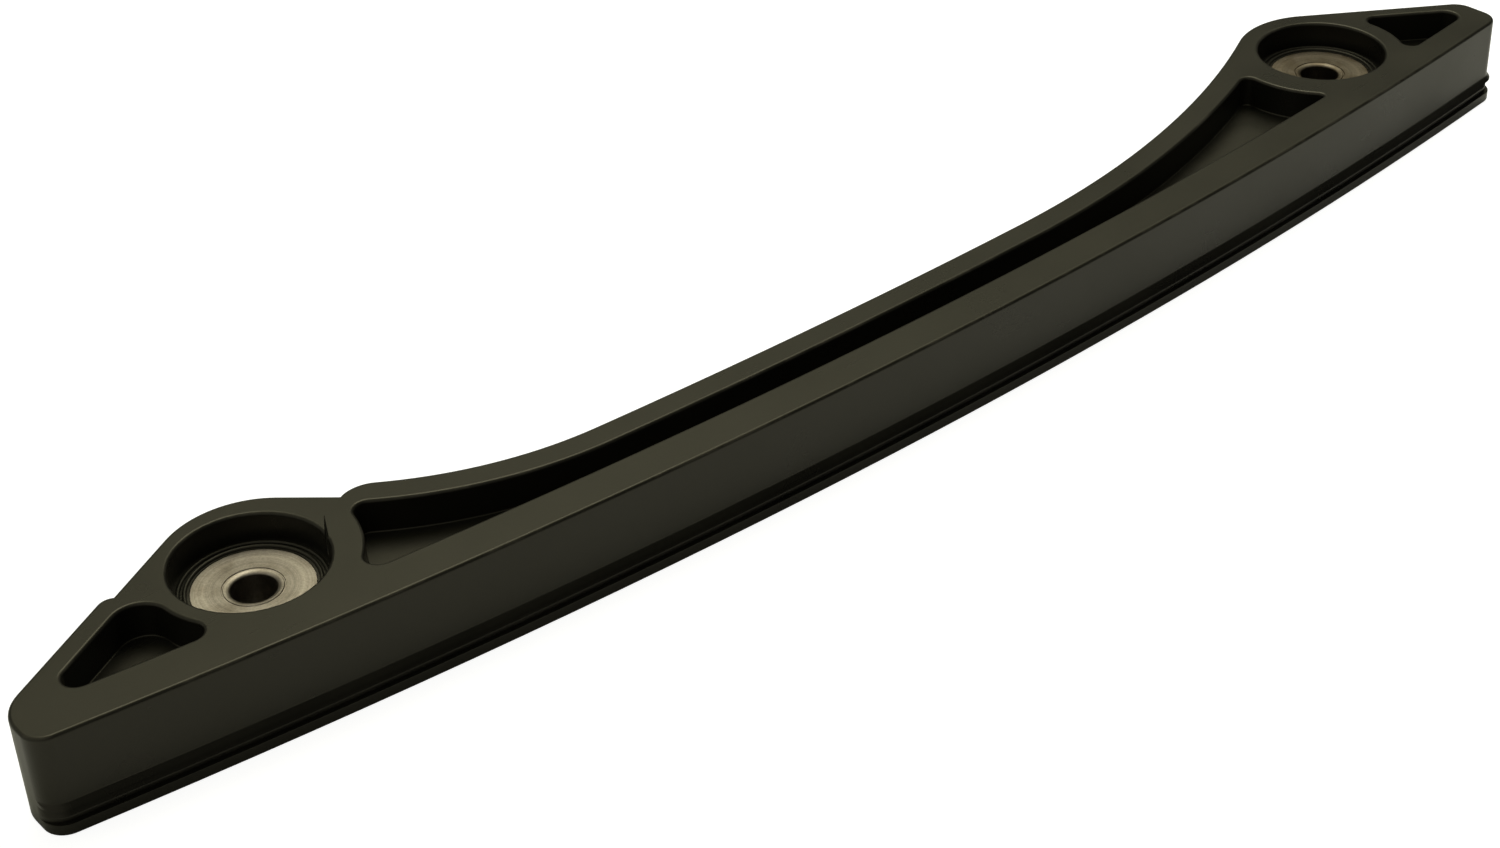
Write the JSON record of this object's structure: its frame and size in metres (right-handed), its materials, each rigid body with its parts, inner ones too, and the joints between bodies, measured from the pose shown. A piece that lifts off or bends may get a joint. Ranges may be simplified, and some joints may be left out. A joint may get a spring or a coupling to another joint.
{
  "type": "timing chain guide",
  "caption": "Slender moulded guide with a bowed face for an engine timing chain to slide on, pocketed for lightness, with a steel-bushed bolt boss near each end.",
  "frame": {"origin": "on the axis of the lower bolt bore, at the mounting face", "axes": "+X to the upper bolt bore, +Z along the bores away from the mounting face, the chain face at -Y"},
  "size_m": [0.2997, 0.0395, 0.016],
  "materials": {
    "nylon": "fine moulded satin",
    "steel": "turned"
  },
  "bodies": {
    "root": {"guide_body": "nylon", "lower_bush": "steel", "upper_bush": "steel"}
  },
  "joints": []
}
